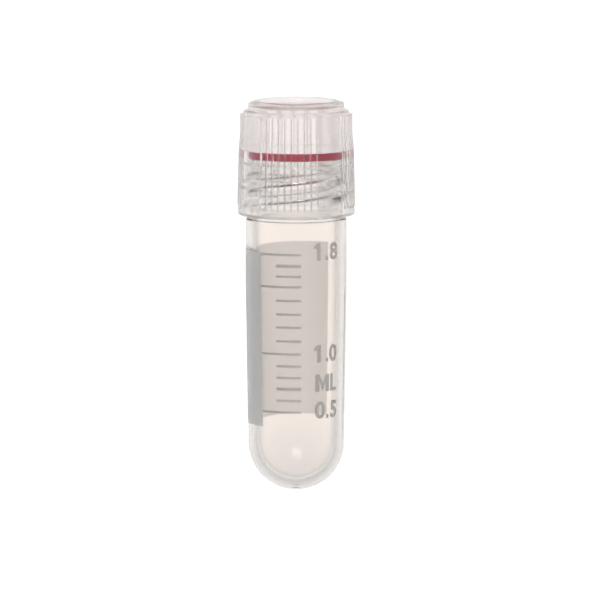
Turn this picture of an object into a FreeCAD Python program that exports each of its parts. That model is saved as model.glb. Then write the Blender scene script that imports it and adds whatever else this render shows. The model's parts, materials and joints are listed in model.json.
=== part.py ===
"""Cryogenic vial of 2 mL with an external-thread screw cap, in millimetres.

Three pieces: a round-bottom vial body, a screw cap with finger ribs, and a flat
silicone washer clamped between the two.  Each is drawn on the vial's own axis,
with the tip of the round end at height 0, then all three are laid on the floor
together, resting on the round end and on the feet of two of the cap's ribs.

In the laid frame +Z is up, the cap points to +Y, X = 0 is the plane of the axis,
Z = 0 is the floor, and the origin lies under the middle of the vial's length.
"""
import FreeCAD, Part
import math
import os

V = FreeCAD.Vector

# ---------------------------------------------------------------- vial body
tube_r = 6.25            # outer radius of the straight barrel under the shoulder
barrel_h = 8.00          # height of that barrel
end_taper = 0.31         # radius lost from the barrel down to the round end
shoulder_h = 34.0        # height of the shoulder above the tip
wall = 1.30              # wall of the tube
end_wall = 1.40          # thickness at the very tip
shoulder_step = 0.57     # how far the neck stands in from the tube
shoulder_round = 0.25    # rounding of the shoulder's outer edge
neck_h = 7.50            # height of the neck, shoulder to rim
rim_round = 0.18         # rounding of both edges of the rim

# ------------------------------------------------------- two-start thread
thread_starts = 2
thread_lead = 4.30       # rise of one start in a full turn
thread_height = 0.52     # crest above root
thread_crest_w = 0.50    # width of a crest, measured along the axis
thread_flank_deg = 35.0  # slope of a flank from the radial direction
thread_run_deg = 34.0    # angle over which a ridge grows out of its wall
thread_first_deg = 17.0  # where the first ridge of the neck begins, from the front
thread_rise = 2.0        # centre of a neck ridge's first end above the shoulder
thread_rim_gap = 1.10    # centre of its last end below the rim
cap_thread_rise = 1.60   # centre of a cap ridge's first end above the skirt's lower edge
cap_thread_drop = 1.40   # centre of its last end below the rim
crest_gap = 0.10         # radial clearance over each crest
flank_gap = 0.10         # axial clearance on the flank that carries the load
section_step_deg = 12.0  # spacing of the sections that a ridge is lofted through
ridge_sink = 0.25        # depth of a ridge's foot inside the wall that it stands on

# ------------------------------------------------------------ silicone washer
washer_t = 1.00          # thickness
washer_overhang = 0.27   # outer edge beyond the neck
washer_lip = 0.55        # how far it reaches in over the vial's bore

# ----------------------------------------------------------------- screw cap
skirt_lift = 0.40        # lower edge of the closed cap above the shoulder
skirt_wall = 0.92        # wall of the skirt at its smooth lower ring
skirt_edge_round = 0.25  # outer rounding of the skirt's lower edge
mouth_chamfer = 0.30     # lead-in of the skirt's mouth
washer_gap = 0.12        # radial clearance round the washer
seat_relief = 0.45       # how far the washer's seat reaches down past the vial's rim
top_t = 5.25             # ceiling over the washer, up to the floor of the recess
ring_h = 0.78            # height of the smooth lower ring
waist_in = 0.07          # depth of the waist between the ring and the grip
waist_h = 0.12           # height of the slope from the ring into the waist
foot_h = 0.40            # height over which the grip swells out of the waist
foot_out = 0.08          # how far the grip stands out beyond the ring there
foot_round = 0.25        # rounding of the grip's foot
flute_run_h = 0.75       # height over which a flute's floor runs out into the waist
belt_h = 8.40            # height at which the grip begins to draw in
belt_in = 0.18           # radius lost up to there
flare_h = 1.70           # height of the drawn-in flare
flare_in = 0.17          # radius lost over the flare
rib_depth = 0.33         # height of a rib over the floor of its flutes
rib_w = 0.20             # width of a finger rib
zone_count = 4           # zones of ribs, with a smooth grip panel after each
zone_deg = 60.0          # angle of a rib zone, panel edge to panel edge
zone_ribs = 8            # ribs that stand free inside a zone
zone_centre_deg = -8.4   # middle of the front zone, from the front
panel_round = 0.40       # rounding of a panel's upper corners
rib_top_drop = 0.85      # tops of ribs and panels below the recess floor
shoulder_in = 0.05       # cap shoulder inside the floor of the flutes
cap_shoulder_h = 0.50    # height of that shoulder
cap_shoulder_round = 0.30  # rounding of its outer edge
collar_in = 1.27         # collar inside the lower ring
rim_w = 1.05             # width of the collar's rim
rim_edge_h = 0.53        # outer edge of the rim above the recess floor
rim_rise = 0.30          # rise of the rim from its outer to its inner edge
rim_edge_round = 0.16    # rounding of both edges of the rim
recess_slope = 0.50      # how far the recess draws in from the rim to its floor

FRONT_DEG = -90.0        # the front is at -Y of the vial's own axes
PAST = 1.0               # how far a cutting shape runs on past the surface it opens


# ------------------------------------------------------------- derived sizes
end_r = tube_r - end_taper
bore_r = tube_r - wall
bore_end_r = end_r - wall
neck_r = tube_r - shoulder_step
rim_h = shoulder_h + neck_h
crest_r = neck_r + thread_height
thread_pitch = thread_lead / thread_starts
flank_slope = math.tan(math.radians(thread_flank_deg))

washer_r = neck_r + washer_overhang
washer_r_in = bore_r - washer_lip
ceiling_h = rim_h + washer_t

skirt_h = shoulder_h + skirt_lift
skirt_bore_r = crest_r + crest_gap
seat_bore_r = washer_r + washer_gap
cap_crest_r = neck_r + crest_gap
ring_r = skirt_bore_r + skirt_wall
waist_r = ring_r - waist_in
foot_r = ring_r + foot_out
belt_r = foot_r - belt_in
grip_r = belt_r - flare_in
ring_top_h = skirt_h + ring_h
waist_low_h = ring_top_h + waist_h
foot_top_h = waist_low_h + foot_h
belt_top_h = skirt_h + belt_h
flare_top_h = belt_top_h + flare_h
floor_h = ceiling_h + top_t
grip_top_h = floor_h - rib_top_drop
cap_shoulder_r = grip_r - rib_depth - shoulder_in
cap_shoulder_top_h = grip_top_h + cap_shoulder_h
collar_r = ring_r - collar_in
recess_r = collar_r - rim_w

rib_pitch_deg = zone_deg / (zone_ribs + 1)
rib_deg = math.degrees(rib_w / grip_r)


# ------------------------------------------------------------------ profiles
def corner_arc(before, corner, after, radius):
    """The arc of a radius that rounds a corner, as its two ends and middle."""
    to_before = (before - corner).normalize()
    to_after = (after - corner).normalize()
    half = to_before.getAngle(to_after) / 2
    reach = radius / math.tan(half)
    middle_way = (to_before + to_after).normalize()
    centre = corner + middle_way * (radius / math.sin(half))
    return (corner + to_before * reach, centre - middle_way * radius,
            corner + to_after * reach)


def rounded_profile(corners):
    """A closed face in the XZ plane from (radius, height, rounding) corners."""
    points = [V(r, 0, z) for r, z, _ in corners]
    edges = []
    stops = []
    for i, (_, _, rounding) in enumerate(corners):
        if rounding:
            arc = corner_arc(points[i - 1], points[i], points[(i + 1) % len(points)], rounding)
        else:
            arc = (points[i], None, points[i])
        stops.append(arc)
    for i, (start, middle, end) in enumerate(stops):
        if middle:
            edges.append(Part.Arc(start, middle, end).toShape())
        following = stops[(i + 1) % len(stops)][0]
        if end.distanceToPoint(following) > 1e-6:
            edges.append(Part.LineSegment(end, following).toShape())
    return Part.Face(Part.Wire(edges))


def is_ring(edge, r, h):
    """Is an edge the circle of radius r round the vial's axis at height h?"""
    if edge.Degenerated:
        return False
    curve = edge.Curve
    return (curve.TypeId == "Part::GeomCircle" and abs(curve.Radius - r) < 1e-4
            and curve.Center.distanceToPoint(V(0, 0, h)) < 1e-4)


def turned(face, from_deg=0.0, sweep_deg=360.0):
    """A face of the XZ plane turned round the vial's axis."""
    solid = face.revolve(V(0, 0, 0), V(0, 0, 1), sweep_deg)
    solid.rotate(V(0, 0, 0), V(0, 0, 1), from_deg)
    return solid


def ball_end(centre_h, ball_r, r, h):
    """The corners of a ball end on the axis that runs on, without an edge, to a wall through (r, h)."""
    away = math.hypot(r, h - centre_h)
    touch = math.atan2(h - centre_h, r) - math.acos(ball_r / away)
    corner_r = ball_r * (1 + math.sin(touch)) / math.cos(touch)
    return [(0, centre_h - ball_r, 0), (corner_r, centre_h - ball_r, ball_r)]


# -------------------------------------------------------------- thread ridges
def ridge_height(angle_deg, length_deg):
    """Share of its full height that a ridge has at an angle from its first end."""
    run = min(thread_run_deg, length_deg / 2)
    near_end = min(angle_deg, length_deg - angle_deg)
    share = min(1.0, max(0.0, near_end / run))
    return share * share * (3 - 2 * share)


def thread_ridge(wall_r, outward, first_deg, first_h, length_deg):
    """One helical ridge on a wall, outward from a neck or inward in a bore.

    It is lofted through radial sections.  Both ends sink into the wall, so the
    ridge grows out of it, as the start of a moulded thread does.
    """
    side = 1 if outward else -1
    count = max(4, math.ceil(length_deg / section_step_deg))
    root_r = wall_r - side * ridge_sink
    root_half = thread_crest_w / 2 + (thread_height + ridge_sink) * flank_slope
    end_sink = ridge_sink / 2
    sections = []
    for i in range(count + 1):
        along = length_deg * i / count
        share = ridge_height(along, length_deg)
        top_r = wall_r + side * ((thread_height + end_sink) * share - end_sink)
        top_half = thread_crest_w / 2
        middle_h = first_h + thread_lead * along / 360
        corners = [V(root_r, 0, middle_h - root_half), V(top_r, 0, middle_h - top_half),
                   V(top_r, 0, middle_h + top_half), V(root_r, 0, middle_h + root_half)]
        wire = Part.makePolygon(corners + corners[:1])
        wire.rotate(V(0, 0, 0), V(0, 0, 1), FRONT_DEG + first_deg + along)
        sections.append(wire)
    return Part.makeLoft(sections, True, False)


def thread_ridges(wall_r, outward, first_deg, first_h, last_h):
    """All starts of a thread, spaced evenly round the wall."""
    length_deg = 360 * (last_h - first_h) / thread_lead
    return [thread_ridge(wall_r, outward, first_deg + 360 * k / thread_starts, first_h, length_deg)
            for k in range(thread_starts)]


# --------------------------------------------------------------------- pieces
def vial_body():
    """Round-bottom tube with shoulder, threaded neck and rim, moulded as one."""
    barrel_low_h = shoulder_h - barrel_h
    outside = rounded_profile(ball_end(end_r, end_r, tube_r, barrel_low_h) + [
        (tube_r, barrel_low_h, 0),
        (tube_r, shoulder_h, shoulder_round),
        (neck_r, shoulder_h, 0),
        (neck_r, rim_h, rim_round),
        (0, rim_h, 0)])
    hollow = rounded_profile(ball_end(end_wall + bore_end_r, bore_end_r, bore_r, barrel_low_h) + [
        (bore_r, barrel_low_h, 0),
        (bore_r, rim_h + PAST, 0),
        (0, rim_h + PAST, 0)])
    body = turned(outside)
    first_h = shoulder_h + thread_rise
    last_h = rim_h - thread_rim_gap
    body = body.fuse(thread_ridges(neck_r, True, thread_first_deg, first_h, last_h))
    body = body.cut(turned(hollow))
    mouth = [edge for edge in body.Edges if is_ring(edge, bore_r, rim_h)]
    return body.makeFillet(rim_round, mouth)


def seal_washer():
    """Flat ring that lies on the vial's rim."""
    return turned(rounded_profile([
        (washer_r_in, rim_h, 0), (washer_r, rim_h, 0),
        (washer_r, ceiling_h, 0), (washer_r_in, ceiling_h, 0)]))


def cap_blank():
    """The cap before its flutes and thread are made."""
    seat_step = skirt_bore_r - seat_bore_r
    outside = rounded_profile([
        (0, skirt_h, 0),
        (ring_r, skirt_h, skirt_edge_round),
        (ring_r, ring_top_h, 0),
        (waist_r, waist_low_h, 0),
        (foot_r, foot_top_h, foot_round),
        (belt_r, belt_top_h, 0),
        (grip_r, flare_top_h, 0),
        (grip_r, grip_top_h, 0),
        (cap_shoulder_r, grip_top_h, 0),
        (cap_shoulder_r, cap_shoulder_top_h, cap_shoulder_round),
        (collar_r, cap_shoulder_top_h, 0),
        (collar_r, floor_h + rim_edge_h, rim_edge_round),
        (recess_r, floor_h + rim_edge_h + rim_rise, rim_edge_round),
        (recess_r - recess_slope, floor_h, 0),
        (0, floor_h, 0)])
    inside = rounded_profile([
        (0, skirt_h - PAST, 0),
        (skirt_bore_r + mouth_chamfer + PAST, skirt_h - PAST, 0),
        (skirt_bore_r, skirt_h + mouth_chamfer, 0),
        (skirt_bore_r, rim_h - seat_relief - seat_step, 0),
        (seat_bore_r, rim_h - seat_relief, 0),
        (seat_bore_r, ceiling_h, 0),
        (0, ceiling_h, 0)])
    return turned(outside).cut(turned(inside))


def flute_cutters():
    """The spaces between neighbouring ribs, and between ribs and panels."""
    outer_r = foot_r + rib_depth
    above_h = grip_top_h + cap_shoulder_h / 2
    space = rounded_profile([
        (waist_r, waist_low_h, 0),
        (outer_r, waist_low_h, 0),
        (outer_r, above_h, 0),
        (grip_r - rib_depth, above_h, 0),
        (grip_r - rib_depth, flare_top_h, 0),
        (belt_r - rib_depth, belt_top_h, 0),
        (foot_r - rib_depth, waist_low_h + flute_run_h, 0)])
    cutters = []
    for zone in range(zone_count):
        zone_start = zone_centre_deg - zone_deg / 2 + 360 * zone / zone_count
        for k in range(zone_ribs + 1):
            low = zone_start + rib_pitch_deg * k + (rib_deg / 2 if k else 0)
            high = zone_start + rib_pitch_deg * (k + 1) - (rib_deg / 2 if k < zone_ribs else 0)
            cutters.append(turned(space, FRONT_DEG + low, high - low))
    return cutters


def panel_notch(edge_deg, inward):
    """What is taken off one square upper corner of a grip panel to round it.

    edge_deg is the panel's edge, and inward is the side on which the panel lies.
    """
    floor_r = grip_r - rib_depth
    turn_h = grip_top_h - panel_round
    clear_h = grip_top_h + rib_depth
    slack = rib_depth / 2
    rise = panel_round * math.sqrt(0.5)
    low = V(floor_r, 0, turn_h)
    middle = V(floor_r, inward * (panel_round - rise), turn_h + rise)
    high = V(floor_r, inward * panel_round, grip_top_h)
    beyond = [high, V(floor_r, inward * panel_round, clear_h), V(floor_r, -inward * slack, clear_h),
              V(floor_r, -inward * slack, turn_h), low]
    edges = [Part.Arc(low, middle, high).toShape()]
    edges += [Part.LineSegment(a, b).toShape() for a, b in zip(beyond, beyond[1:])]
    notch = Part.Face(Part.Wire(edges)).extrude(V(2 * rib_depth, 0, 0))
    notch.rotate(V(0, 0, 0), V(0, 0, 1), FRONT_DEG + edge_deg)
    return notch


def panel_notches():
    """The notches at both upper corners of every grip panel."""
    notches = []
    for zone in range(zone_count):
        middle_deg = zone_centre_deg + 360 * zone / zone_count
        for side in (-1, 1):
            notches.append(panel_notch(middle_deg + side * zone_deg / 2, side))
    return notches


def screw_cap():
    """Ribbed cap with its thread, its recess on top and its washer seat inside."""
    cap = cap_blank().cut(flute_cutters() + panel_notches())
    flank_room = thread_pitch / 2 - thread_crest_w - (thread_height - crest_gap) * flank_slope
    first_h = skirt_h + cap_thread_rise
    above_neck_ridge = thread_pitch / 2 + flank_room - flank_gap
    climb = first_h - (shoulder_h + thread_rise) - above_neck_ridge
    first_deg = thread_first_deg + 360 * climb / thread_lead
    ridges = thread_ridges(skirt_bore_r, False, first_deg, first_h, rim_h - cap_thread_drop)
    return cap.fuse(ridges)


# ----------------------------------------------------------------- lying pose
def foot_rounding():
    """Centre, as (radius, height), of the rounding of the grip's foot."""
    start, middle, end = corner_arc(V(waist_r, 0, waist_low_h), V(foot_r, 0, foot_top_h),
                                    V(belt_r, 0, belt_top_h), foot_round)
    inward = (start + end - middle * 2).normalize()
    centre = middle + inward * foot_round
    return centre.x, centre.z


def lying_angle():
    """Slope of the axis when the round end and the ribs' feet both touch the floor.

    Two ribs stand astride the lowest line, so the floor is a little nearer the axis
    than a rib's foot is.
    """
    foot_x, foot_z = foot_rounding()
    astride = math.cos(math.radians((rib_pitch_deg - rib_deg) / 2))
    across = (foot_x + foot_round) * astride - foot_round
    along = foot_z - end_r
    return math.atan2(across, along) - math.asin((end_r - foot_round) / math.hypot(along, across))


def rest_roll():
    """Turn about the axis that brings the middle of the nearest flute to the lowest line."""
    zone_step_deg = 360 / zone_count
    lowest_zone = round((180 - zone_centre_deg) / zone_step_deg)
    zone_start = zone_centre_deg + zone_step_deg * lowest_zone - zone_deg / 2
    past = (180 - zone_start - rib_pitch_deg / 2) % rib_pitch_deg
    return past if past < rib_pitch_deg / 2 else past - rib_pitch_deg


def main():
    """Build the pieces, lay them down together and write one STEP file for each."""
    pieces = {"vial_body": vial_body(), "screw_cap": screw_cap(), "seal_washer": seal_washer()}
    slope = lying_angle()
    for shape in pieces.values():
        shape.rotate(V(0, 0, 0), V(0, 0, 1), rest_roll())
        shape.rotate(V(0, 0, 0), V(1, 0, 0), math.degrees(slope) - 90)
        shape.translate(V(0, 0, end_r * (1 - math.sin(slope))))
    box = Part.makeCompound(list(pieces.values())).optimalBoundingBox(False, False)
    os.makedirs("parts", exist_ok=True)
    for name, shape in pieces.items():
        shape.translate(V(0, -(box.YMin + box.YMax) / 2, 0))
        solid = shape.Solids[0]
        solid.exportStep(f"parts/{name}.step")
        print(name, "solids", len(shape.Solids), "valid", solid.isValid(),
              "volume", round(solid.Volume, 2), "faces", len(solid.Faces))
    print("slope of the axis", round(math.degrees(slope), 4), "roll", round(rest_roll(), 4),
          "tip at", round(-(box.YMin + box.YMax) / 2, 4), "floor to", round(box.ZMin, 4))


main()
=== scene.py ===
"""Visual model of a cryogenic vial that lies closed on a pale floor.

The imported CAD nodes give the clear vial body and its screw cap.  This script
dresses them as moulded polypropylene, makes the silicone washer between them
and lays the white print on the tube: a writing patch, graduation marks and
the numbers beside them.
"""

import json
import logging
import math
from dataclasses import dataclass, field
from enum import Enum
from typing import Any, Iterable

import bpy
from mathutils import Matrix, Vector


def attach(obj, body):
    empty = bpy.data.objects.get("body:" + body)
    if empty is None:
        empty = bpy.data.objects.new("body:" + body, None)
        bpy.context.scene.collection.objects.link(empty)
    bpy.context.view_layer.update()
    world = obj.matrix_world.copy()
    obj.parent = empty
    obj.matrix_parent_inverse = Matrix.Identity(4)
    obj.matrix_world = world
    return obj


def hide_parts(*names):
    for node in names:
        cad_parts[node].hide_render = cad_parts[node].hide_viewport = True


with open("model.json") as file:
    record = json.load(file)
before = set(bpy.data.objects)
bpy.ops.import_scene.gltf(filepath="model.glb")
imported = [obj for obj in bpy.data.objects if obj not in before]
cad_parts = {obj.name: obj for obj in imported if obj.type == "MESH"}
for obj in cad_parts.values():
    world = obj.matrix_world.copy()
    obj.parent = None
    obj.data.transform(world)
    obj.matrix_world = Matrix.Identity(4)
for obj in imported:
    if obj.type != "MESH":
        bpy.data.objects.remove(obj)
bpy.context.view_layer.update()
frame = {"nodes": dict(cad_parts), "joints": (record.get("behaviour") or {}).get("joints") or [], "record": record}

LOG = logging.getLogger("cryovial")
MM = 0.001

Rgba = tuple[float, float, float, float]
Curve = tuple[tuple[float, float], ...]
NodeInput = Any
WHITE: Rgba = (1.0, 1.0, 1.0, 1.0)


class Body(Enum):
    """The rigid bodies that new pieces ride on."""

    VIAL = "vial"
    WASHER = "washer"


class CadNode(Enum):
    """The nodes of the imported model."""

    TUBE = "vial_body"
    CAP = "screw_cap"
    WASHER = "seal_washer"


class Slot(Enum):
    """The record's material slots that new pieces take."""

    TUBE = "clear_polypropylene_tube"
    SILICONE = "red_silicone"


class MixOf(Enum):
    """A mix node's data type and the places of its two inputs and its result."""

    NUMBERS = ("FLOAT", 2, 3, 0)
    COLOURS = ("RGBA", 6, 7, 2)


# ------------------------------------------------------------------ helpers
def linear(code: str) -> Rgba:
    """Turns an sRGB colour into the linear one that shaders work in.

    Args:
        code: Six hexadecimal digits, red first.

    Returns:
        Red, green, blue and an alpha of 1, linear.
    """
    steps = [int(code[i:i + 2], 16) / 255 for i in (0, 2, 4)]
    rgb = [s / 12.92 if s <= 0.04045 else ((s + 0.055) / 1.055) ** 2.4 for s in steps]
    return rgb[0], rgb[1], rgb[2], 1.0


def add_node(tree: bpy.types.NodeTree, kind: str, settings: dict[str, Any] | None = None,
             **inputs: NodeInput) -> bpy.types.Node:
    """Adds one shader node with its settings, values and links.

    Args:
        tree: The node tree that takes it.
        kind: The node's Blender type, such as ShaderNodeMath.
        settings: Attributes of the node itself, by name.
        **inputs: A value or an output socket for each input. A space in the
            input's name is written as an underscore, and a lone number after
            one underscore, such as _0, is the input's place in the list.

    Returns:
        The new node.
    """
    node = tree.nodes.new(kind)
    for name, value in (settings or {}).items():
        setattr(node, name, value)
    for name, value in inputs.items():
        key: int | str = int(name[1:]) if name[1:].isdigit() else name.replace("_", " ")
        socket = node.inputs[key]
        if isinstance(value, bpy.types.NodeSocket):
            tree.links.new(value, socket)
        else:
            socket.default_value = value
    return node


def maths(tree: bpy.types.NodeTree, operation: str,
          *values: NodeInput) -> bpy.types.NodeSocket:
    """Adds a node for one operation on numbers.

    Args:
        tree: The node tree that takes it.
        operation: The operation's Blender name, such as MULTIPLY.
        *values: A number or an output socket for each input.

    Returns:
        The result.
    """
    inputs = {f"_{place}": value for place, value in enumerate(values)}
    return add_node(tree, "ShaderNodeMath", {"operation": operation}, **inputs).outputs[0]


def mix(tree: bpy.types.NodeTree, of: MixOf, share: NodeInput, first: NodeInput,
        last: NodeInput, how: str = "MIX") -> bpy.types.NodeSocket:
    """Adds a node that mixes two values.

    Args:
        tree: The node tree that takes it.
        of: Whether numbers or colours are mixed.
        share: How much of the last value is in the mix, from 0 to 1.
        first: A value or an output socket.
        last: The same.
        how: The blend type, for colours only.

    Returns:
        The mix.
    """
    kind, first_place, last_place, result = of.value
    inputs = {"_0": share, f"_{first_place}": first, f"_{last_place}": last}
    node = add_node(tree, "ShaderNodeMix", {"data_type": kind, "blend_type": how}, **inputs)
    return node.outputs[result]


def new_material(name: str) -> tuple[bpy.types.Material, bpy.types.NodeTree]:
    """Makes a material and returns it with its node tree, which is empty."""
    made = bpy.data.materials.new(name)
    made.use_nodes = True
    made.node_tree.nodes.clear()
    return made, made.node_tree


def deselect() -> None:
    """Leaves nothing selected, so that an operator acts on its own piece only."""
    if bpy.context.object and bpy.context.object.mode != "OBJECT":
        bpy.ops.object.mode_set(mode="OBJECT")
    bpy.ops.object.select_all(action="DESELECT")


def activate(piece: bpy.types.Object) -> None:
    """Selects one piece alone and makes it the active one."""
    deselect()
    piece.select_set(True)
    bpy.context.view_layer.objects.active = piece


def apply_modifiers(piece: bpy.types.Object) -> None:
    """Bakes all of a piece's modifiers into its mesh."""
    activate(piece)
    for modifier in list(piece.modifiers):
        bpy.ops.object.modifier_apply(modifier=modifier.name)


def join(pieces: Iterable[bpy.types.Object], name: str) -> bpy.types.Object:
    """Joins several meshes into one piece.

    Args:
        pieces: The meshes, of which the first one takes the rest.
        name: The joined piece's name.

    Returns:
        The joined piece.
    """
    found = list(pieces)
    activate(found[0])
    for piece in found:
        piece.select_set(True)
    bpy.ops.object.join()
    found[0].name = found[0].data.name = name
    return found[0]


@dataclass(frozen=True)
class LongAxis:
    """The vial's own axes: the tip at the origin, Z along it, -Y its printed front.

    Attributes:
        turn_deg: How far the front is turned from straight up.
    """

    turn_deg: float = 1.733

    def matrix(self) -> Matrix:
        """The place of the vial's own axes in the row frame, in metres."""
        along = Vector(frame["joints"][0]["axis"]).normalized()
        on_axis = Vector(frame["record"]["mounts"][0]["pos_m"])
        tube = frame["nodes"][CadNode.TUBE.value].data.vertices
        lowest = min(v.co.dot(along) for v in tube)
        tip = on_axis + along * (lowest - on_axis.dot(along))
        side = Vector((1, 0, 0))
        up = side.cross(along)
        turn = math.radians(self.turn_deg)
        front = up * math.cos(turn) + side * math.sin(turn)
        right = along.cross(front)
        axes = Matrix((right, -front, along)).transposed().to_4x4()
        return Matrix.Translation(tip) @ axes


AXES = LongAxis().matrix()


def heights(node: CadNode) -> tuple[float, float]:
    """The lowest and highest points of a node along the vial, in mm above the tip."""
    to_vial = AXES.inverted()
    along = [(to_vial @ v.co).z / MM for v in frame["nodes"][node.value].data.vertices]
    return min(along), max(along)


def place(piece: bpy.types.Object) -> None:
    """Moves a mesh from the vial's own axes, in millimetres, into the row frame."""
    piece.data.transform(piece.matrix_world)
    piece.matrix_world = Matrix.Identity(4)
    piece.data.transform(AXES @ Matrix.Scale(MM, 4))
    piece.data.update()


# ----------------------------------------------------------------- finishes
@dataclass(frozen=True)
class VialCoordinates:
    """Object coordinates turned to the vial's own axes, in millimetres."""

    def add(self, tree: bpy.types.NodeTree) -> bpy.types.NodeSocket:
        """Adds the nodes and returns the vector that patterns read."""
        to_vial = Matrix.Scale(1 / MM, 4) @ AXES.inverted()
        source = add_node(tree, "ShaderNodeTexCoord")
        mapping = add_node(tree, "ShaderNodeMapping", {"vector_type": "POINT"},
                           Vector=source.outputs["Object"], Location=to_vial.translation,
                           Rotation=AXES.inverted().to_euler("XYZ"), Scale=(1 / MM,) * 3)
        return mapping.outputs["Vector"]


@dataclass(frozen=True)
class NaturalPolypropylene:
    """Unpigmented polypropylene as it leaves the mould.

    The resin is clear but slightly milky and warm, so what lies behind a wall
    shows soft.  Walls and edges seen at a slant are darkened by painted shade.

    Attributes:
        name: The material's name.
        tint: Colour of light that has passed a wall.
        clear: Share of the light that goes through and isn't scattered.
        polish: Roughness of the polished mould's walls.
        polish_spread: Change of that roughness over the flow marks.
        flow_mm: Size of the flow marks left by the melt.
        flow_along: Their closeness along the vial, as a share of that across it.
        flow_detail: How many finer sizes of mark lie on them.
        flow_height: Strength of the flow marks' relief.
        flow_depth_mm: Depth of that relief at full strength.
        ior: Refractive index, set well below the resin's own 1.49.
        milk: Share of the light that each surface scatters as it passes.
        loss_per_mm: Rate at which the resin takes away what smoke lacks.
        smoke: Colour that the resin tends to where it is thick.
        painted_wall_shade: Painted shade on a wall seen at a slant, as (facing value, share) stops.
        edge_round_mm: Rounding that every edge is shaded with.
        edge_samples: Rays that the look of a rounded edge is averaged from.
    """

    name: str = "polypropylene_natural_moulded"
    tint: str = "FFFEFD"
    clear: float = 0.99
    polish: float = 0.05
    polish_spread: float = 0.04
    flow_mm: float = 3.0
    flow_along: float = 0.35
    flow_detail: float = 3.0
    flow_height: float = 0.03
    flow_depth_mm: float = 0.05
    ior: float = 1.38
    milk: float = 0.03
    loss_per_mm: float = 0.004
    smoke: str = "FFC400"
    # Painted shade: a grey that darkens a wall the more edge on it is seen.
    painted_wall_shade: Curve = ((0.0, 1.0), (1.0, 0.8))
    edge_round_mm: float = 0.10
    edge_samples: int = 4

    def curve(self, tree: bpy.types.NodeTree, value: bpy.types.NodeSocket,
              stops: Curve) -> bpy.types.NodeSocket:
        """Adds the nodes for a grey that changes with a value.

        Args:
            tree: The material's node tree.
            value: What it changes with, from 0 to 1.
            stops: The value and the grey at each stop, in rising order.

        Returns:
            The grey.
        """
        ramp = add_node(tree, "ShaderNodeValToRGB", None, Fac=value)
        elements = ramp.color_ramp.elements
        while len(elements) > 1:
            elements.remove(elements[-1])
        elements[0].position = stops[0][0]
        for position, _ in stops[1:]:
            elements.new(position)
        for element, (_, grey) in zip(elements, stops):
            element.color = (grey, grey, grey, 1.0)
        return ramp.outputs["Color"]

    def milkiness(self, tree: bpy.types.NodeTree, where: bpy.types.NodeSocket) -> NodeInput:
        """The share of light that the surface scatters, the same all over."""
        return self.milk

    def tint_and_painted_shade(self, tree: bpy.types.NodeTree, where: bpy.types.NodeSocket) -> NodeInput:
        """The colour of light that has passed a wall, the same all over, with no painted shade."""
        return linear(self.tint)

    def shade(self, tree: bpy.types.NodeTree, where: bpy.types.NodeSocket,
              facing: bpy.types.NodeSocket) -> bpy.types.NodeSocket:
        """The painted shade on a wall seen at a slant, as a share of light."""
        return self.curve(tree, facing, self.painted_wall_shade)

    def roughness(self, tree: bpy.types.NodeTree, where: bpy.types.NodeSocket,
                  flow: bpy.types.NodeSocket) -> bpy.types.NodeSocket:
        """Adds the nodes for the surface's roughness.

        Args:
            tree: The material's node tree.
            where: The vial's own coordinates, not used here.
            flow: The flow marks, from 0 to 1.

        Returns:
            The roughness.
        """
        spread = add_node(tree, "ShaderNodeMapRange", None, Value=flow,
                          To_Min=self.polish, To_Max=self.polish + self.polish_spread)
        return spread.outputs["Result"]

    def material(self) -> bpy.types.Material:
        """Makes the material."""
        made, tree = new_material(self.name)
        where = VialCoordinates().add(tree)
        stretched = add_node(tree, "ShaderNodeMapping", None, Vector=where,
                             Scale=(1.0, 1.0, self.flow_along))
        flow = add_node(tree, "ShaderNodeTexNoise", None,
                        Vector=stretched.outputs["Vector"], Scale=1 / self.flow_mm,
                        Detail=self.flow_detail).outputs["Fac"]
        rounded = add_node(tree, "ShaderNodeBevel", {"samples": self.edge_samples},
                           Radius=self.edge_round_mm * MM)
        relief = add_node(tree, "ShaderNodeBump", None, Strength=self.flow_height,
                          Distance=self.flow_depth_mm * MM, Height=flow,
                          Normal=rounded.outputs["Normal"]).outputs["Normal"]
        # Painted shade: the colour is multiplied by a grey that follows how edge on the surface is seen.
        facing = add_node(tree, "ShaderNodeLayerWeight").outputs["Facing"]
        shaded = mix(tree, MixOf.COLOURS, 1.0, self.tint_and_painted_shade(tree, where),
                     self.shade(tree, where, facing), "MULTIPLY")
        shader = add_node(tree, "ShaderNodeBsdfPrincipled", None, Base_Color=shaded,
                          IOR=self.ior, Transmission_Weight=self.clear, Normal=relief,
                          Roughness=self.roughness(tree, where, flow))
        scattered = add_node(tree, "ShaderNodeBsdfTranslucent", None,
                             Color=linear(self.tint), Normal=relief)
        milky = add_node(tree, "ShaderNodeMixShader", None,
                         _0=self.milkiness(tree, where), _1=shader.outputs["BSDF"],
                         _2=scattered.outputs["BSDF"])
        inside = add_node(tree, "ShaderNodeVolumeAbsorption", None,
                          Color=linear(self.smoke), Density=self.loss_per_mm / MM)
        add_node(tree, "ShaderNodeOutputMaterial", None, Surface=milky.outputs["Shader"],
                 Volume=inside.outputs["Volume"])
        return made


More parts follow.
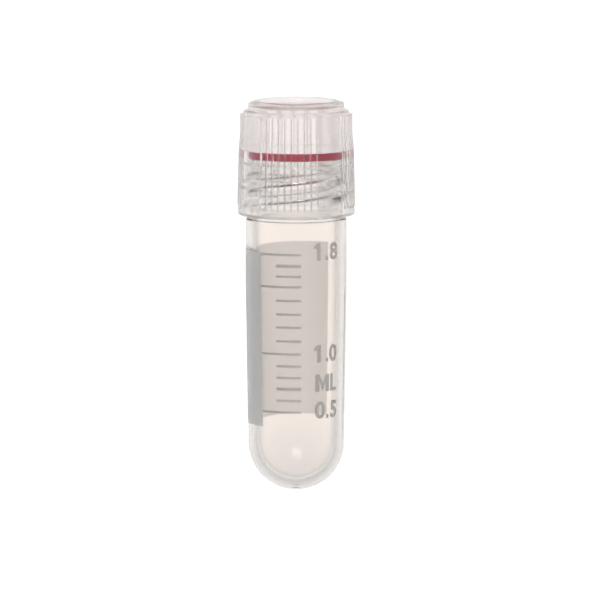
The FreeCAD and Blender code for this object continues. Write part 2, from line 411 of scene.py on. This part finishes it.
@dataclass(frozen=True)
class TubePolypropylene(NaturalPolypropylene):
    """The tube's polypropylene, with painted shade on its walls and near the tip.

    A clear tube shows a grey line along each side, where light meets the bore at
    its limiting angle, and is bright again outside it.  The two curves paint that
    line in as shade.  They are given and aren't worked out from the refractive index.

    Attributes:
        painted_bore_shade: Painted shade on the bore seen at a slant, as (facing value, share) stops.
        bore_limit_mm: Distance that lies between the bore and the outer wall.
        neck_mm: Height of the shoulder above the tip.
        neck_tint: Colour of light that has passed a wall of the threaded neck.
        ball_mm: Height of the round end's centre above the tip.
        painted_tip_shade: Painted shade near the tip, for the shadow behind the round end.
        painted_tip_shade_mm: Heights between which that painted shade fades out.
    """

    tint: str = "FEF9F5"
    # Painted shade: these two curves draw the grey lines along the tube's sides.
    painted_wall_shade: Curve = ((0.27, 1.0), (0.35, 0.80), (0.40, 0.42), (0.46, 0.39),
                         (0.525, 0.56), (0.61, 0.64), (0.72, 0.76), (1.0, 0.76))
    painted_bore_shade: Curve = ((0.35, 1.0), (0.49, 0.90), (0.584, 0.85), (0.72, 0.67),
                         (0.85, 0.52), (1.0, 0.50))
    bore_limit_mm: float = 5.3
    neck_mm: float = 34.0
    neck_tint: str = "FFFEFD"
    ball_mm: float = 5.94
    # Painted shade: a greyer tint near the tip, for the shadow behind the round end.
    painted_tip_shade: str = "ECE9E7"
    painted_tip_shade_mm: tuple[float, float] = (0.0, 11.0)

    def tint_and_painted_shade(self, tree: bpy.types.NodeTree, where: bpy.types.NodeSocket) -> NodeInput:
        """Adds the nodes for the colour of light past a wall, darker near the tip as painted shade."""
        height = add_node(tree, "ShaderNodeSeparateXYZ", None, Vector=where).outputs["Z"]
        away = add_node(tree, "ShaderNodeMapRange", None, Value=height,
                        From_Min=self.painted_tip_shade_mm[0], From_Max=self.painted_tip_shade_mm[1])
        # Painted shade: greyer towards the tip.
        tube = mix(tree, MixOf.COLOURS, away.outputs["Result"], linear(self.painted_tip_shade),
                   linear(self.tint))
        above = maths(tree, "GREATER_THAN", height, self.neck_mm)
        return mix(tree, MixOf.COLOURS, above, tube, linear(self.neck_tint))

    def shade(self, tree: bpy.types.NodeTree, where: bpy.types.NodeSocket,
              facing: bpy.types.NodeSocket) -> bpy.types.NodeSocket:
        """Adds the nodes for the painted shade on a wall seen at a slant.

        Args:
            tree: The material's node tree.
            where: The vial's own coordinates.
            facing: 0 where the surface is seen face on and 1 where it is seen edge on.

        Returns:
            The share of light as painted shade, by one curve on the outer wall and
            another on the bore, and all of it, with no shade, on the threaded neck.
        """
        xyz = add_node(tree, "ShaderNodeSeparateXYZ", None, Vector=where).outputs
        below = maths(tree, "MINIMUM", maths(tree, "SUBTRACT", xyz["Z"], self.ball_mm), 0.0)
        arm = add_node(tree, "ShaderNodeCombineXYZ", None, X=xyz["X"], Y=xyz["Y"], Z=below)
        distance = add_node(tree, "ShaderNodeVectorMath", {"operation": "LENGTH"},
                            _0=arm.outputs["Vector"]).outputs["Value"]
        outside = maths(tree, "GREATER_THAN", distance, self.bore_limit_mm)
        walls = mix(tree, MixOf.COLOURS, outside, self.curve(tree, facing, self.painted_bore_shade),
                    self.curve(tree, facing, self.painted_wall_shade))
        on_tube = maths(tree, "LESS_THAN", xyz["Z"], self.neck_mm)
        return mix(tree, MixOf.COLOURS, on_tube, WHITE, walls)


@dataclass(frozen=True)
class FrostedGripPolypropylene(NaturalPolypropylene):
    """The cap's polypropylene, with its grip panels from a lightly etched mould.

    Only the flutes are polished.  The four smooth panels scatter what is seen
    through them and blur the washer, and painted shade makes them greyer.  The
    crests of the ribs scatter more still and carry darker painted shade, so each
    shows as a soft line, and the cap's ends scatter and carry painted shade too.

    Attributes:
        frost: Roughness of the panels.
        panel_painted_shade: Grey painted shade on the panels, as light that has passed the outside of two.
        crest_painted_shade: Grey painted shade on the rib crests, as light that has passed two.
        crest_milk: Share of the light that a crest scatters.
        ends_painted_shade: Grey painted shade on the ends, as light that has passed their outside twice.
        end_frost: Roughness of the ends, above and below the grip.
        end_milk: Share of the light that the ends scatter.
        zone_centre_deg: Middle of one rib zone, from the front.
        zone_count: Rib zones round the cap, with a panel after each.
        zone_deg: Angle of a rib zone.
        rib_pitch_deg: Angle from rib to rib.
        rib_deg: Angle of a rib's crest.
        grip_low_mm: Lower edge of ribs and panels above the tip.
        grip_high_mm: Their upper edge.
        outside_mm: Least distance from the axis that is outside the cap.
    """

    name: str = "polypropylene_natural_etched_panels"
    ior: float = 1.33
    milk: float = 0.03
    loss_per_mm: float = 0.014
    smoke: str = "A04A20"
    # Painted shade: darkens the cap's outline where its walls are seen edge on.
    painted_wall_shade: Curve = ((0.0, 1.0), (0.6, 0.99), (0.92, 0.96), (1.0, 0.65))
    edge_round_mm: float = 0.20
    frost: float = 0.19
    # Painted shade: the greys of the panels, the rib crests and the ends.
    panel_painted_shade: str = "E4E2E2"
    crest_painted_shade: str = "D4CFCC"
    crest_milk: float = 0.27
    ends_painted_shade: str = "F2EEEC"
    end_frost: float = 0.15
    end_milk: float = 0.20
    zone_centre_deg: float = -8.4
    zone_count: int = 4
    zone_deg: float = 60.0
    rib_pitch_deg: float = 60.0 / 9
    rib_deg: float = 1.2
    grip_low_mm: float = 35.7
    grip_high_mm: float = 46.9
    outside_mm: float = 6.6

    def from_zone_middle(self, tree: bpy.types.NodeTree,
                         where: bpy.types.NodeSocket) -> bpy.types.NodeSocket:
        """Adds the nodes for the angle from the nearest rib zone's middle, in radians."""
        xyz = add_node(tree, "ShaderNodeSeparateXYZ", None, Vector=where).outputs
        angle = maths(tree, "ARCTAN2", xyz["X"], maths(tree, "MULTIPLY", xyz["Y"], -1.0))
        turned = maths(tree, "SUBTRACT", angle, math.radians(self.zone_centre_deg))
        half_step = math.pi / self.zone_count
        return maths(tree, "WRAP", turned, half_step, -half_step)

    def where_all(self, tree: bpy.types.NodeTree,
                  tests: Iterable[tuple[str, NodeInput, float]]) -> NodeInput:
        """Adds the nodes for a mask of 1 where every test holds.

        Args:
            tree: The material's node tree.
            tests: A comparison, a value and its limit for each test.

        Returns:
            The mask.
        """
        mask: NodeInput = 1.0
        for operation, value, limit in tests:
            mask = maths(tree, "MULTIPLY", maths(tree, operation, value, limit), mask)
        return mask

    def radius_and_height(self, tree: bpy.types.NodeTree, where: bpy.types.NodeSocket
                          ) -> tuple[bpy.types.NodeSocket, bpy.types.NodeSocket]:
        """Adds the nodes for the distance from the axis and the height above the tip."""
        height = add_node(tree, "ShaderNodeSeparateXYZ", None, Vector=where).outputs["Z"]
        flat = add_node(tree, "ShaderNodeVectorMath", {"operation": "MULTIPLY"},
                        _0=where, _1=(1.0, 1.0, 0.0))
        radius = add_node(tree, "ShaderNodeVectorMath", {"operation": "LENGTH"},
                          _0=flat.outputs["Vector"])
        return radius.outputs["Value"], height

    def on_grip(self, tree: bpy.types.NodeTree, where: bpy.types.NodeSocket,
                tests: Iterable[tuple[str, NodeInput, float]]) -> NodeInput:
        """Adds the nodes for a mask of 1 on a part of the grip.

        Args:
            tree: The material's node tree.
            where: The vial's own coordinates.
            tests: What must hold there besides: a comparison, a value and its limit.

        Returns:
            The mask, 0 inside the cap and beyond the grip's ends.
        """
        radius, height = self.radius_and_height(tree, where)
        return self.where_all(tree, [("GREATER_THAN", radius, self.outside_mm),
                                     ("GREATER_THAN", height, self.grip_low_mm),
                                     ("LESS_THAN", height, self.grip_high_mm), *tests])

    def on_panel(self, tree: bpy.types.NodeTree, where: bpy.types.NodeSocket) -> NodeInput:
        """Adds the nodes for a mask of 1 on the grip panels."""
        aside = maths(tree, "ABSOLUTE", self.from_zone_middle(tree, where))
        return self.on_grip(tree, where, [
            ("GREATER_THAN", aside, math.radians(self.zone_deg) / 2)])

    def on_crest(self, tree: bpy.types.NodeTree, where: bpy.types.NodeSocket) -> NodeInput:
        """Adds the nodes for a mask of 1 on the crests of the finger ribs."""
        angle = self.from_zone_middle(tree, where)
        half_pitch = math.radians(self.rib_pitch_deg) / 2
        from_rib = maths(tree, "WRAP", maths(tree, "ADD", angle, half_pitch),
                         half_pitch, -half_pitch)
        half_rib = math.radians(self.rib_deg) / 2
        last_rib = math.radians(self.zone_deg) / 2 - half_pitch
        return self.on_grip(tree, where, [
            ("LESS_THAN", maths(tree, "ABSOLUTE", from_rib), half_rib),
            ("LESS_THAN", maths(tree, "ABSOLUTE", angle), last_rib)])

    def on_ends(self, tree: bpy.types.NodeTree, where: bpy.types.NodeSocket) -> NodeInput:
        """Adds the nodes for a mask of 1 on the cap above the grip and round it below."""
        radius, height = self.radius_and_height(tree, where)
        ring = self.where_all(tree, [("GREATER_THAN", radius, self.outside_mm),
                                     ("LESS_THAN", height, self.grip_low_mm)])
        top = maths(tree, "GREATER_THAN", height, self.grip_high_mm)
        return maths(tree, "MAXIMUM", ring, top)

    def tint_and_painted_shade(self, tree: bpy.types.NodeTree, where: bpy.types.NodeSocket) -> NodeInput:
        """Adds the nodes for the light past a wall, with painted shade on panels, crests and ends."""
        tint: NodeInput = linear(self.tint)
        # Painted shade: grey is mixed in on the panels, the rib crests and the ends.
        for mask, other in ((self.on_panel(tree, where), self.panel_painted_shade),
                            (self.on_crest(tree, where), self.crest_painted_shade),
                            (self.on_ends(tree, where), self.ends_painted_shade)):
            tint = mix(tree, MixOf.COLOURS, mask, tint, linear(other))
        return tint

    def milkiness(self, tree: bpy.types.NodeTree, where: bpy.types.NodeSocket) -> NodeInput:
        """Adds the nodes for the light scattered, more of it on the crests and ends."""
        grip = mix(tree, MixOf.NUMBERS, self.on_crest(tree, where), self.milk,
                   self.crest_milk)
        return mix(tree, MixOf.NUMBERS, self.on_ends(tree, where), grip, self.end_milk)

    def roughness(self, tree: bpy.types.NodeTree, where: bpy.types.NodeSocket,
                  flow: bpy.types.NodeSocket) -> bpy.types.NodeSocket:
        """Adds the nodes for the surface's roughness, frosted on panels and ends.

        Args:
            tree: The material's node tree.
            where: The vial's own coordinates.
            flow: The flow marks, from 0 to 1.

        Returns:
            The roughness.
        """
        grip = mix(tree, MixOf.NUMBERS, self.on_panel(tree, where),
                   super().roughness(tree, where, flow), self.frost)
        return mix(tree, MixOf.NUMBERS, self.on_ends(tree, where), grip, self.end_frost)


@dataclass(frozen=True)
class GrainedSurface:
    """A finish with a fine grain, which both its colour and its relief follow.

    Attributes:
        name: The material's name.
        colour: Its colour at one end of the grain.
        other: Its colour at the other end.
        through: Share of the light that passes.
        ior: Refractive index.
        dull: Roughness of the surface.
        grain_mm: Size of the grain.
        grain_detail: How many finer grains lie on it.
        grain_bite: Strength of each finer grain, as a share of the one before.
        relief: Strength of the relief.
        relief_mm: Depth of the relief at full strength.
    """

    name: str
    colour: str
    other: str
    through: float
    ior: float = 1.5
    dull: float = 0.6
    grain_mm: float = 0.25
    grain_detail: float = 5.0
    grain_bite: float = 0.6
    relief: float = 0.15
    relief_mm: float = 0.01

    def material(self) -> bpy.types.Material:
        """Makes the material."""
        made, tree = new_material(self.name)
        grain = add_node(tree, "ShaderNodeTexNoise", None,
                         Vector=VialCoordinates().add(tree), Scale=1 / self.grain_mm,
                         Detail=self.grain_detail, Roughness=self.grain_bite).outputs["Fac"]
        colours = mix(tree, MixOf.COLOURS, grain, linear(self.colour), linear(self.other))
        relief = add_node(tree, "ShaderNodeBump", None, Strength=self.relief,
                          Distance=self.relief_mm * MM, Height=grain)
        shader = add_node(tree, "ShaderNodeBsdfPrincipled", None, Base_Color=colours,
                          IOR=self.ior, Roughness=self.dull,
                          Transmission_Weight=self.through,
                          Normal=relief.outputs["Normal"])
        add_node(tree, "ShaderNodeOutputMaterial", None, Surface=shader.outputs["BSDF"])
        return made


@dataclass(frozen=True)
class PrintingInk(GrainedSurface):
    """White pad-printing ink, a thin matt film that lets light through."""

    through: float = 0.90


@dataclass(frozen=True)
class MouldedSilicone(GrainedSurface):
    """Raspberry silicone rubber, compression moulded, with a satin skin."""

    name: str = "silicone_rubber_raspberry"
    colour: str = "B0123C"
    other: str = "C02C54"
    through: float = 0.0
    ior: float = 1.41
    dull: float = 0.42
    grain_mm: float = 0.6
    grain_detail: float = 4.0
    grain_bite: float = 0.5
    relief: float = 0.1
    relief_mm: float = 0.02


# --------------------------------------------------------------- the pieces
@dataclass
class ClearMouldings:
    """The vial body and the screw cap, whose shape is the CAD's own."""

    tube: TubePolypropylene = field(default_factory=TubePolypropylene)
    cap: FrostedGripPolypropylene = field(default_factory=FrostedGripPolypropylene)

    def build(self) -> list[bpy.types.Object]:
        """Dresses both nodes and returns them."""
        dressed = []
        for node, finish in ((CadNode.TUBE, self.tube), (CadNode.CAP, self.cap)):
            piece = frame["nodes"][node.value]
            piece.material_slots[0].material = finish.material()
            dressed.append(piece)
        return dressed


@dataclass
class SealWasher:
    """The flat silicone ring between the vial's rim and the cap's ceiling.

    Attributes:
        inner_r: Radius of its hole.
        outer_r: Radius of its rim.
        edge_round: Rounding of its edges.
        round_steps: Steps of that rounding.
        spin_steps: Steps round the ring.
        ease: Air left above it and below it.
        merge: Distance within which points become one.
        smooth_deg: Angle up to which edges are shaded smooth.
        finish: What it is made of.
    """

    inner_r: float = 4.40
    outer_r: float = 5.95
    edge_round: float = 0.10
    round_steps: int = 4
    spin_steps: int = 160
    ease: float = 0.004
    merge: float = 0.001
    smooth_deg: float = 40.0
    finish: MouldedSilicone = field(default_factory=MouldedSilicone)

    def build(self) -> bpy.types.Object:
        """Spins the ring's rounded section and dresses it."""
        deselect()
        width = self.outer_r - self.inner_r
        low, high = heights(CadNode.WASHER)
        bpy.ops.mesh.primitive_plane_add(
            size=1, location=(self.inner_r + width / 2, 0, (low + high) / 2),
            rotation=(math.pi / 2, 0, 0))
        ring = bpy.context.object
        ring.scale = (width, high - low - 2 * self.ease, 1)
        bpy.ops.object.transform_apply(location=True, rotation=True, scale=True)
        bpy.ops.object.mode_set(mode="EDIT")
        bpy.ops.mesh.select_all(action="SELECT")
        bpy.ops.mesh.bevel(offset=self.edge_round, segments=self.round_steps,
                           affect="VERTICES")
        bpy.ops.mesh.select_all(action="SELECT")
        bpy.ops.mesh.delete(type="ONLY_FACE")
        bpy.ops.mesh.select_all(action="SELECT")
        bpy.ops.mesh.spin(steps=self.spin_steps, angle=math.tau, center=(0, 0, 0),
                          axis=(0, 0, 1))
        bpy.ops.mesh.select_all(action="SELECT")
        bpy.ops.mesh.remove_doubles(threshold=self.merge)
        bpy.ops.mesh.normals_make_consistent(inside=False)
        bpy.ops.object.mode_set(mode="OBJECT")
        bpy.ops.object.shade_smooth_by_angle(angle=math.radians(self.smooth_deg))
        ring.name = ring.data.name = "silicone_washer"
        place(ring)
        ring.data.materials.append(self.finish.material())
        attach(ring, Body.WASHER.value)
        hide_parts(CadNode.WASHER.value)
        return ring


@dataclass(frozen=True)
class TubeWall:
    """The outside of the tube, which the print lies on.

    Attributes:
        top_r: Radius of the straight barrel.
        barrel_low: Height where the barrel ends and the taper begins.
        end_r: Radius at the round end's equator, which is as high.
    """

    top_r: float = 6.25
    barrel_low: float = 26.0
    end_r: float = 5.94

    def radius(self, height: float) -> float:
        """The tube's radius at a height above the tip."""
        share = (height - self.end_r) / (self.barrel_low - self.end_r)
        return self.end_r + (self.top_r - self.end_r) * min(max(share, 0.0), 1.0)


@dataclass(frozen=True)
class Mark:
    """One graduation mark.

    Attributes:
        height: Its middle above the tip.
        width: Its thickness along the tube.
        long: Whether it runs on to the left over the bare strip to the patch.
    """

    height: float
    width: float = 0.28
    long: bool = False


@dataclass(frozen=True)
class Bar:
    """A straight stroke, in shares of its character's width and height.

    Attributes:
        left: Its left side.
        right: Its right side.
        at_left: Its lower and upper corner on the left side.
        at_right: The same on the right side.
    """

    left: float
    right: float
    at_left: tuple[float, float] = (0.0, 1.0)
    at_right: tuple[float, float] = (0.0, 1.0)


STRAIGHT: dict[str, tuple[Bar, ...]] = {
    ".": (Bar(0.0, 1.0),),
    "1": (Bar(0.0, 0.43, (0.68, 0.82), (0.68, 1.0)), Bar(0.43, 1.0)),
    "L": (Bar(0.0, 0.38), Bar(0.38, 1.0, (0.0, 0.20), (0.0, 0.20))),
    "M": (Bar(0.0, 0.28), Bar(0.28, 0.50, (0.62, 1.0), (0.0, 0.50)),
          Bar(0.50, 0.73, (0.0, 0.50), (0.62, 1.0)), Bar(0.73, 1.0)),
}


@dataclass(frozen=True)
class Character:
    """One printed character and the angles between which it stands."""

    text: str
    left_deg: float
    right_deg: float


@dataclass(frozen=True)
class Label:
    """A row of characters beside the marks, about one height above the tip."""

    height: float
    characters: tuple[Character, ...]


@dataclass
class PrintedMarks:
    """The print on the tube: writing patch, graduation marks and numbers.

    Heights are above the tip, and angles go from the front towards the right.

    Attributes:
        wall: The outside of the tube.
        film: Thickness of the ink.
        lift: Air left under it.
        slice_deg: Widest angle that one flat slice of it spans.
        patch_low: Lower edge of the writing patch.
        patch_high: Its upper edge.
        patch_left_deg: Its left edge.
        patch_right_deg: Its right edge.
        patch_level_deg: Where its lower and upper edges have those heights.
        patch_twist: How far they sink for each degree to the right.
        mark_left_deg: Left end of a short mark.
        mark_right_deg: Right end of every mark.
        long_left_deg: Left end of a long mark.
        levels: The marks, from low to high.
        labels: The numbers and the unit.
        character_h: Height of a character.
        point_h: Height of a decimal point.
        letter_size: Size at which a round character is set before it is fitted.
        stroke_swell: How far its strokes are thickened at that size.
        curve_steps: Steps in each piece of its curves.
        white: Ink of the writing patch.
        grey: Ink of the marks and characters.
    """

    wall: TubeWall = field(default_factory=TubeWall)
    film: float = 0.02
    lift: float = 0.012
    slice_deg: float = 2.0
    patch_low: float = 8.5
    patch_high: float = 30.2
    patch_left_deg: float = -231.0
    patch_right_deg: float = -43.5
    patch_level_deg: float = -81.0
    patch_twist: float = 0.0023
    mark_left_deg: float = -23.7
    mark_right_deg: float = 5.3
    long_left_deg: float = -43.5
    levels: tuple[Mark, ...] = (
        Mark(10.4, long=True), Mark(11.85), Mark(13.3, 0.39), Mark(14.7), Mark(16.15),
        Mark(17.65, long=True), Mark(19.26), Mark(20.97), Mark(22.6), Mark(24.3),
        Mark(26.0, long=True), Mark(27.3), Mark(28.6, 0.39), Mark(30.0, long=True))
    labels: tuple[Label, ...] = (
        Label(30.33, (Character("1", 20.3, 28.5), Character(".", 35.2, 39.0),
                      Character("8", 41.2, 53.9))),
        Label(17.66, (Character("1", 20.9, 29.7), Character(".", 36.1, 40.0),
                      Character("0", 41.4, 53.8))),
        Label(13.98, (Character("M", 22.6, 41.8), Character("L", 43.7, 53.7))),
        Label(10.62, (Character("0", 22.2, 36.2), Character(".", 37.5, 41.4),
                      Character("5", 44.0, 55.0))))
    character_h: float = 2.15
    point_h: float = 0.50
    letter_size: float = 3.0
    stroke_swell: float = 0.10
    curve_steps: int = 6
    white: PrintingInk = field(default_factory=lambda: PrintingInk(
        "pad_printing_ink_white", "EDEEEE", "E7E8E8"))
    grey: PrintingInk = field(default_factory=lambda: PrintingInk(
        "pad_printing_ink_marks", "D8D6D4", "D2D0CE"))

    def strip(self, low: float, high: float, left_deg: float,
              right_deg: float) -> bpy.types.Object:
        """A thin film on the tube within two heights and two angles.

        Args:
            low: Lower edge.
            high: Upper edge.
            left_deg: Left edge.
            right_deg: Right edge.

        Returns:
            The film, in the vial's own axes and in millimetres.
        """
        film = self.sheet(low, high, left_deg, right_deg)
        return self.wrapped(film)

    def sheet(self, low: float, high: float, left_deg: float,
              right_deg: float) -> bpy.types.Object:
        """The same film before it is wrapped, with X in degrees and Y as height.

        Args:
            low: Lower edge.
            high: Upper edge.
            left_deg: Left edge.
            right_deg: Right edge.

        Returns:
            A flat mesh, cut into slices and where the tube begins to taper.
        """
        deselect()
        slices = math.ceil((right_deg - left_deg) / self.slice_deg)
        bpy.ops.mesh.primitive_grid_add(
            x_subdivisions=slices, y_subdivisions=1, size=1,
            location=((left_deg + right_deg) / 2, (low + high) / 2, 0))
        film = bpy.context.object
        film.scale = (right_deg - left_deg, high - low, 1)
        bpy.ops.object.transform_apply(location=True, rotation=True, scale=True)
        if low < self.wall.barrel_low < high:
            bpy.ops.object.mode_set(mode="EDIT")
            bpy.ops.mesh.select_all(action="SELECT")
            bpy.ops.mesh.bisect(plane_co=(0, self.wall.barrel_low, 0), plane_no=(0, 1, 0))
            bpy.ops.object.mode_set(mode="OBJECT")
        return film

    def wrapped(self, film: bpy.types.Object) -> bpy.types.Object:
        """Wraps a flat film round the tube and gives it its thickness.

        Args:
            film: A flat mesh, with X in degrees from the front and Y as height.

        Returns:
            The same mesh, lying on the tube.
        """
        for vertex in film.data.vertices:
            angle, height = math.radians(vertex.co.x), vertex.co.y
            radius = self.wall.radius(height) + self.lift
            vertex.co = (radius * math.sin(angle), -radius * math.cos(angle), height)
        skin = film.modifiers.new("film", "SOLIDIFY")
        skin.thickness = self.film
        skin.offset = 1.0
        apply_modifiers(film)
        return film

    def patch(self) -> bpy.types.Object:
        """The writing patch, which goes round the left of the tube a little askew."""
        patch = self.sheet(self.patch_low, self.patch_high, self.patch_left_deg,
                           self.patch_right_deg)
        for vertex in patch.data.vertices:
            vertex.co.y -= (vertex.co.x - self.patch_level_deg) * self.patch_twist
        return join([self.wrapped(patch)], "writing_patch")

    def marks(self) -> bpy.types.Object:
        """The graduation marks, four of them long."""
        made = []
        for mark in self.levels:
            left = self.long_left_deg if mark.long else self.mark_left_deg
            low, high = mark.height - mark.width / 2, mark.height + mark.width / 2
            made.append(self.strip(low, high, left, self.mark_right_deg))
        return join(made, "graduation_marks")

    def drawn(self, bar: Bar) -> bpy.types.Object:
        """A straight stroke as a flat mesh, in shares of its character's size."""
        deselect()
        bpy.ops.mesh.primitive_plane_add(size=1)
        stroke = bpy.context.object
        for vertex in stroke.data.vertices:
            rightwards, upwards = vertex.co.x > 0, vertex.co.y > 0
            corners = bar.at_right if rightwards else bar.at_left
            vertex.co = (bar.right if rightwards else bar.left, corners[upwards], 0)
        return stroke

    def lettered(self, text: str) -> bpy.types.Object:
        """A round character as a flat mesh that fills the unit square."""
        deselect()
        bpy.ops.object.text_add(location=(0, 0, 0))
        letter = bpy.context.object.data
        letter.body = text
        letter.size = self.letter_size
        letter.offset = self.stroke_swell
        letter.resolution_u = self.curve_steps
        bpy.ops.object.convert(target="MESH")
        flat = bpy.context.object
        corners = [v.co for v in flat.data.vertices]
        x0, x1 = min(c.x for c in corners), max(c.x for c in corners)
        y0, y1 = min(c.y for c in corners), max(c.y for c in corners)
        to_size = Matrix.Diagonal((1 / (x1 - x0), 1 / (y1 - y0), 1, 1))
        flat.data.transform(to_size @ Matrix.Translation((-x0, -y0, 0)))
        return flat

    def character(self, character: Character, foot: float) -> bpy.types.Object:
        """One character of a label.

        Args:
            character: What it is and where it stands round the tube.
            foot: Height of its foot above the tip.

        Returns:
            The film, in the vial's own axes and in millimetres.
        """
        if character.text in STRAIGHT:
            film = join([self.drawn(bar) for bar in STRAIGHT[character.text]], "character")
        else:
            film = self.lettered(character.text)
        width_deg = character.right_deg - character.left_deg
        height = self.point_h if character.text == "." else self.character_h
        film.data.transform(Matrix.Translation((character.left_deg, foot, 0))
                            @ Matrix.Diagonal((width_deg, height, 1, 1)))
        steps = math.ceil(width_deg / self.slice_deg)
        activate(film)
        bpy.ops.object.mode_set(mode="EDIT")
        for step in range(1, steps):
            bpy.ops.mesh.select_all(action="SELECT")
            bpy.ops.mesh.bisect(
                plane_co=(character.left_deg + width_deg * step / steps, 0, 0),
                plane_no=(1, 0, 0))
        bpy.ops.object.mode_set(mode="OBJECT")
        return self.wrapped(film)

    def numbers(self) -> bpy.types.Object:
        """The numbers and the unit beside the marks."""
        made = []
        for label in self.labels:
            foot = label.height - self.character_h / 2
            made += [self.character(character, foot) for character in label.characters]
        return join(made, "graduation_numbers")

    def build(self) -> list[bpy.types.Object]:
        """Makes all of the print, dresses it and lays it on the tube."""
        white, grey = self.white.material(), self.grey.material()
        made = [(self.patch(), white), (self.marks(), grey), (self.numbers(), grey)]
        for piece, ink in made:
            place(piece)
            piece.data.materials.clear()
            piece.data.materials.append(ink)
            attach(piece, Body.VIAL.value)
        return [piece for piece, _ in made]


# ---------------------------------------------------------------- the studio
@dataclass
class Studio:
    """A pale floor, a bright room and a camera that looks down on the vial.

    Attributes:
        floor_side: Side of the square floor, in metres.
        floor_colour: The floor's own colour.
        glow_colour: Colour of the light that the floor gives off.
        floor_glow: Strength of that light.
        floor_dull: Roughness of the floor.
        sky: Colour of the room's light.
        sky_strength: Strength of that light.
        lamp_watts: Power of the soft lamp.
        lamp_size: Side of the lamp, in metres.
        lamp_at: Place of the lamp, in metres.
        camera_distance: How far the camera stands from the vial, in metres.
        camera_rise_deg: How far it is raised towards the cap.
        view_width: Width that the camera sees at the vial.
        middle_height: Height above the tip of the point it is aimed from.
        aim_right: How far to the right of that point it aims.
        aim_down: How far below that point it aims.
        sensor: Width of its sensor.
        nearest: Least distance at which it sees anything, in metres.
    """

    floor_side: float = 6.0
    floor_colour: str = "787878"
    glow_colour: str = "FAFAFA"
    floor_glow: float = 1.00
    floor_dull: float = 0.9
    sky: str = "FFFFFF"
    sky_strength: float = 0.80
    lamp_watts: float = 3.0
    lamp_size: float = 0.4
    lamp_at: tuple[float, float, float] = (0.0, 0.55, 0.6)
    camera_distance: float = 0.85
    camera_rise_deg: float = 7.0
    view_width: float = 74.46
    middle_height: float = 24.3
    aim_right: float = 0.45917
    aim_down: float = 0.6205
    sensor: float = 36.0
    nearest: float = 0.01

    def floor(self) -> None:
        """Adds the floor, dressed as the opal sheet of a light table."""
        deselect()
        bpy.ops.mesh.primitive_plane_add(size=self.floor_side)
        floor = bpy.context.object
        floor.name = floor.data.name = "studio_floor"
        made, tree = new_material("opal_acrylic_lit_from_below")
        shader = add_node(tree, "ShaderNodeBsdfPrincipled", None,
                          Base_Color=linear(self.floor_colour),
                          Roughness=self.floor_dull, Specular_IOR_Level=0.0,
                          Emission_Color=linear(self.glow_colour),
                          Emission_Strength=self.floor_glow)
        add_node(tree, "ShaderNodeOutputMaterial", None, Surface=shader.outputs["BSDF"])
        floor.data.materials.append(made)

    def light(self) -> None:
        """Lights the room evenly and adds one large soft lamp."""
        scene = bpy.context.scene
        world = scene.world or bpy.data.worlds.new("studio")
        scene.world = world
        world.use_nodes = True
        world.node_tree.nodes.clear()
        sky = add_node(world.node_tree, "ShaderNodeBackground", None,
                       Color=linear(self.sky), Strength=self.sky_strength)
        add_node(world.node_tree, "ShaderNodeOutputWorld", None,
                 Surface=sky.outputs["Background"])
        deselect()
        bpy.ops.object.light_add(type="AREA", location=self.lamp_at)
        lamp = bpy.context.object
        lamp.name = "soft_lamp"
        lamp.data.energy = self.lamp_watts
        lamp.data.size = self.lamp_size
        aim = -Vector(self.lamp_at)
        lamp.rotation_euler = aim.to_track_quat("-Z", "Y").to_euler()
        scene.view_settings.view_transform = "Standard"

    def camera(self) -> None:
        """Adds the camera and makes it the scene's."""
        axes = AXES.to_3x3()
        right, back, along = axes.col
        rise = math.radians(self.camera_rise_deg)
        towards = -back * math.cos(rise) + along * math.sin(rise)
        up = along * math.cos(rise) + back * math.sin(rise)
        middle = AXES @ Vector((0, 0, self.middle_height * MM))
        aim = middle + right * (self.aim_right * MM) - up * (self.aim_down * MM)
        data = bpy.data.cameras.new("camera")
        camera = bpy.data.objects.new("camera", data)
        bpy.context.scene.collection.objects.link(camera)
        turned = Matrix((right, up, towards)).transposed().to_4x4()
        eye = aim + towards * self.camera_distance
        camera.matrix_world = Matrix.Translation(eye) @ turned
        data.sensor_width = self.sensor
        data.lens = self.sensor * self.camera_distance / (self.view_width * MM)
        data.clip_start = self.nearest
        bpy.context.scene.camera = camera

    def build(self) -> None:
        """Sets the whole stage."""
        self.floor()
        self.light()
        self.camera()


def main() -> None:
    """Builds every piece in order and reports it."""
    logging.basicConfig(level=logging.INFO, format="%(name)s: %(message)s")
    pieces = [*ClearMouldings().build(), SealWasher().build(), *PrintedMarks().build()]
    for piece in pieces:
        LOG.info("%s: %d faces", piece.name, len(piece.data.polygons))
    Studio().build()


if __name__ == "__main__":
    main()
